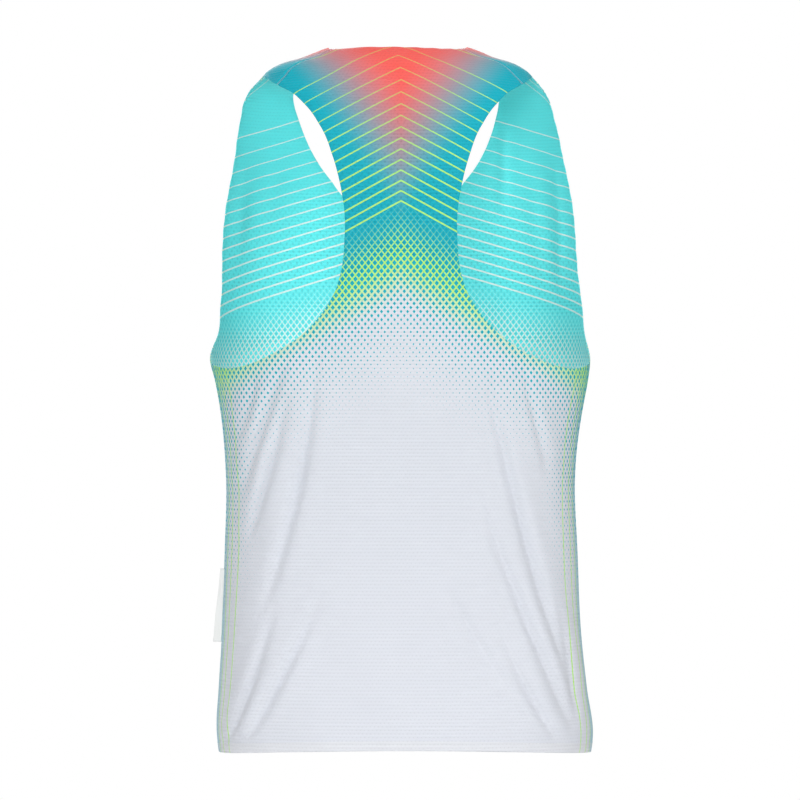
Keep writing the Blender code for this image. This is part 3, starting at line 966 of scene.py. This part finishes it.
def printed_colour(tree, layout, inks):
    """Chevrons of pinstripes and diamonds under a vee at the neck, with stripes down the sides."""
    layout = dict(zip(PRINT_COLUMNS, layout))
    ink = dict(zip(INK_NAMES, inks))
    across, up = map_numbers(tree, CUT_MAP)
    from_side, _ = map_numbers(tree, SIDE_MAP)
    aside = across.size()
    down = up * -1 + layout["neck_height"]
    chevron = down - layout["chevron_top"] - aside * layout["chevron_slope"]
    vee = down * layout["vee_down"] + aside * layout["vee_aside"]

    # How far a place is from the middle of its diamond: 0 there, 1 where diamonds touch
    rise = down / DIAMOND_HEIGHT
    run = across / DIAMOND_WIDTH
    diamond = (rise + run).from_middle(1).larger((rise - run).from_middle(1)) * 2

    # The ground turns from turquoise to lime to white, and turquoise diamonds shrink on it
    ground = blend(tree, chevron.ramp(*LIME_START), ink["turquoise"], ink["lime"])
    ground = blend(tree, chevron.ramp(*LIME_END), ground, ink["white"])
    shade = from_side.ramp(*SIDE_SHADE_REACH, SIDE_SHADE, 0)
    ground = blend(tree, shade, ground, ink["turquoise"])
    flank = from_side.ramp(*FLANK_DIAMONDS, FLANK_DIAMOND_SIZE, 0) * down.ramp(*FLANK_FADE, 1, 0)
    size = chevron.ramp(DIAMONDS_FULL, DIAMONDS_GONE, DIAMOND_COVER, 0).larger(flank)
    colour = blend(tree, diamond.below(size), ground, ink["turquoise"])

    # A soft coral vee at the neck, and small darker diamonds all over what is printed full
    vee_ink = vee.ramp(layout["vee_full"], layout["vee_gone"], 1, 0)
    colour = blend(tree, vee_ink, colour, ink["coral"])
    tonal = diamond.below(TONAL_DIAMOND) * chevron.ramp(*TONAL_START, 0, TONAL_INK)
    colour = blend(tree, tonal * chevron.below(LIME_START[1]), colour, (0, 0, 0))

    # Lime pinstripes along the chevrons, closer together and thicker towards the last
    share = (chevron - PINSTRIPE_START) / (PINSTRIPE_END - PINSTRIPE_START)
    stripe = share.larger(0).math("POWER", PINSTRIPE_EASE) * PINSTRIPE_COUNT
    thickness = share.ramp(0, 1, *PINSTRIPE_HALF_WIDTH)
    striped = share.above(0) * share.below(1)
    faded = vee_ink * (PINSTRIPE_ON_VEE - 1) + 1
    in_stripe = stripe.from_middle(1).below(thickness) * striped * faded
    colour = blend(tree, in_stripe, colour, ink["lime"])

    # Lime stripes down the sides
    for middle, half_width in SIDE_STRIPES:
        colour = blend(tree, (from_side - middle).size().below(half_width), colour, ink["lime"])
    return colour


def blank_material(name, settings):
    """A new material, its tree, and its shader with these sockets set."""
    made = bpy.data.materials.new(name)
    made.use_nodes = True
    shader = made.node_tree.nodes["Principled BSDF"]
    for socket, value in settings.items():
        shader.inputs[socket].default_value = value
    return made, made.node_tree, shader


def add_relief(tree, shader, height, distance):
    """Bump from a height, whose 1 stands this far out."""
    relief = tree.nodes.new("ShaderNodeBump")
    relief.inputs["Distance"].default_value = distance
    tree.links.new(height.socket, relief.inputs["Height"])
    tree.links.new(relief.outputs["Normal"], shader.inputs["Normal"])


def printed_knit(name, layout, inks):
    """Light mesh knit of fine loops, ribbed across, with eyelets in its grooves, and its print."""
    made, tree, shader = blank_material(name, KNIT_SHADER)
    across, up = map_numbers(tree, CUT_MAP)
    row = up / RIB_PITCH
    hole_up = row.from_middle(1)
    groove = hole_up * -2 + 1
    stagger = (row / 2).math("FRACT").above(0.5) * 0.5
    hole_across = (across / EYELET_PITCH + stagger).from_middle(1)
    reach = (hole_across * hole_across + hole_up * hole_up).math("SQRT")
    eyelet = reach.ramp(*EYELET_SLOPE, 1, 0)
    gap = across.from_middle(LOOP_WIDTH)
    loop = gap + (up + gap * (LOOP_SLANT * LOOP_WIDTH)).from_middle(LOOP_HEIGHT) * LOOP_ROWS

    _, from_hem = map_numbers(tree, SIDE_MAP)
    doubled = from_hem.below(HEM_BAND * MM) * HEM_PALENESS
    colour = blend(tree, doubled, printed_colour(tree, layout, inks), HEM_WHITE)
    # Painted shade in the grooves, in the eyelets and between the loops darkens the colour
    dark = groove * GROOVE_PAINTED_SHADE + eyelet * EYELET_PAINTED_SHADE + (loop - LOOP_MEAN) * LOOP_PAINTED_SHADE
    colour = blend(tree, dark, colour, (0, 0, 0))
    tree.links.new(colour, shader.inputs["Base Color"])
    height = groove * -GROOVE_RELIEF - eyelet * EYELET_RELIEF - loop * LOOP_RELIEF
    add_relief(tree, shader, height, 1)
    return made


def label_tape(name):
    """White woven tape with a fine rib across, bare."""
    made, tree, shader = blank_material(name, TAPE_SHADER)
    along, up = map_numbers(tree, CUT_MAP)
    weave = up.from_middle(TAPE_RIB_PITCH) + along.from_middle(TAPE_WARP_PITCH) * TAPE_WARP
    # Painted shade: the colour darkens towards the grooves of the weave
    colour = blend(tree, weave, TAPE_PAINTED_LIT, TAPE_PAINTED_SHADE)
    tree.links.new(colour, shader.inputs["Base Color"])
    add_relief(tree, shader, weave, TAPE_RELIEF)
    return made


def sewing_thread(name, layout, paleness):
    """Thread dyed a little paler than the print that it lies on."""
    made, tree, shader = blank_material(name, THREAD_SHADER)
    colour = blend(tree, paleness, printed_colour(tree, layout, OUTER_INKS), THREAD_WHITE)
    tree.links.new(colour, shader.inputs["Base Color"])
    return made


def area_light(name, place, aim, width, height, watts):
    """A soft lamp that faces its aim."""
    lamp = bpy.data.lights.new(name, "AREA")
    lamp.shape = "RECTANGLE"
    lamp.size, lamp.size_y, lamp.energy = width, height, watts
    made = add_object(name, lamp)
    made.location = place
    made.rotation_euler = (Vector(aim) - Vector(place)).to_track_quat("-Z", "Y").to_euler()


def floor_paint(name):
    """Pale matt paint that melts into the backdrop far from the singlet."""
    made, tree, shader = blank_material(name, FLOOR_SHADER)
    place = tree.nodes.new("ShaderNodeTexCoord")
    flat = tree.nodes.new("ShaderNodeVectorMath")
    flat.operation = "MULTIPLY"
    flat.inputs[1].default_value = (1, 1, 0)
    tree.links.new(place.outputs["Object"], flat.inputs[0])
    reach = tree.nodes.new("ShaderNodeVectorMath")
    reach.operation = "LENGTH"
    tree.links.new(flat.outputs["Vector"], reach.inputs[0])
    fade = Number(tree, reach.outputs["Value"]).ramp(*FLOOR_FADE)
    clear = tree.nodes.new("ShaderNodeBsdfTransparent")
    mix = tree.nodes.new("ShaderNodeMixShader")
    tree.links.new(fade.socket, mix.inputs["Fac"])
    tree.links.new(shader.outputs["BSDF"], mix.inputs[1])
    tree.links.new(clear.outputs["BSDF"], mix.inputs[2])
    tree.links.new(mix.outputs["Shader"], tree.nodes["Material Output"].inputs["Surface"])
    return made


def studio():
    """A pale floor under the singlet, even light all round, soft lamps, and the camera."""
    floor_mesh = bpy.data.meshes.new("floor")
    around = np.linspace(0, 2 * np.pi, FLOOR_SIDES, endpoint=False)
    edge = [(FLOOR_RADIUS * np.cos(a), FLOOR_RADIUS * np.sin(a), FLOOR_HEIGHT) for a in around]
    floor_mesh.from_pydata(edge, [], [range(FLOOR_SIDES)])
    floor = add_object("floor", floor_mesh)
    floor_mesh.materials.append(floor_paint("floor_paint"))

    world = bpy.data.worlds.new("studio")
    world.use_nodes = True
    tree = world.node_tree
    sky = tree.nodes["Background"]
    backdrop = tree.nodes.new("ShaderNodeBackground")
    rays = tree.nodes.new("ShaderNodeLightPath")
    mix = tree.nodes.new("ShaderNodeMixShader")
    sky.inputs["Color"].default_value = (1, 1, 1, 1)
    sky.inputs["Strength"].default_value = ROOM_LIGHT
    backdrop.inputs["Color"].default_value = (1, 1, 1, 1)
    tree.links.new(rays.outputs["Is Camera Ray"], mix.inputs["Fac"])
    tree.links.new(sky.outputs[0], mix.inputs[1])
    tree.links.new(backdrop.outputs[0], mix.inputs[2])
    tree.links.new(mix.outputs[0], tree.nodes["World Output"].inputs["Surface"])
    bpy.context.scene.world = world
    for lamp in LAMPS:
        area_light(*lamp)

    view = bpy.data.cameras.new("camera")
    view.sensor_width = SENSOR
    view.lens = SENSOR * CAMERA_PLACE[1] / VIEW_WIDTH
    camera = add_object("camera", view)
    camera.location = CAMERA_PLACE
    camera.rotation_euler = CAMERA_TURN
    bpy.context.scene.camera = camera
    bpy.context.scene.view_settings.view_transform = "Standard"


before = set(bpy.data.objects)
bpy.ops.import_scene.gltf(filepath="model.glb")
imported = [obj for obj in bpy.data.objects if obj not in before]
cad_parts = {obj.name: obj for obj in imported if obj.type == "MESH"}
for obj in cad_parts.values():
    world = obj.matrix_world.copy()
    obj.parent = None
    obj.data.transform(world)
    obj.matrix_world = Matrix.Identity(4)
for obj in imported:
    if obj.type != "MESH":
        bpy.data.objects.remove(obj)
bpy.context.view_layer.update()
studio()

# The inner finishes' inks carry painted light for light shining through the cloth, as well as the
# print's paler reverse
back_finishes = [
    printed_knit("back_knit_outside", BACK_PRINT, OUTER_INKS),
    printed_knit("back_knit_inside", BACK_PRINT, INNER_INKS_AND_PAINTED_LIGHT),
]
front_finishes = [
    printed_knit("front_knit_outside", FRONT_PRINT, OUTER_INKS),
    printed_knit("front_knit_inside", FRONT_PRINT, INNER_INKS_AND_PAINTED_LIGHT),
]
back = panel("printed_back", back_blocks(), BACK_FOLDS, CENTRE_BACK, back_finishes)
front = panel("printed_front", front_blocks(), FRONT_FOLDS, CENTRE_FRONT, front_finishes)
label = folded_label(label_tape("label_tape"))
threads = sewing(
    stitch_tree(),
    sewing_thread("back_hem_thread", BACK_PRINT, HEM_THREAD_PALENESS),
    sewing_thread("front_hem_thread", FRONT_PRINT, HEM_THREAD_PALENESS),
    sewing_thread("seam_thread", BACK_PRINT, SEAM_THREAD_PALENESS),
)
for piece, node, slot, held, cut, area in (
    (back, "back_panel", "printed_knit", "stretched", BACK_CUT, BACK_CUT_AREA),
    (front, "front_panel", "printed_knit", "stretched", FRONT_CUT, FRONT_CUT_AREA),
    (label, "side_label", "label_tape", "folded", LABEL_CUT, LABEL_CUT_AREA),
):
    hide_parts(node)
    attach(piece, "root")
for piece in threads:
    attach(piece, "root")
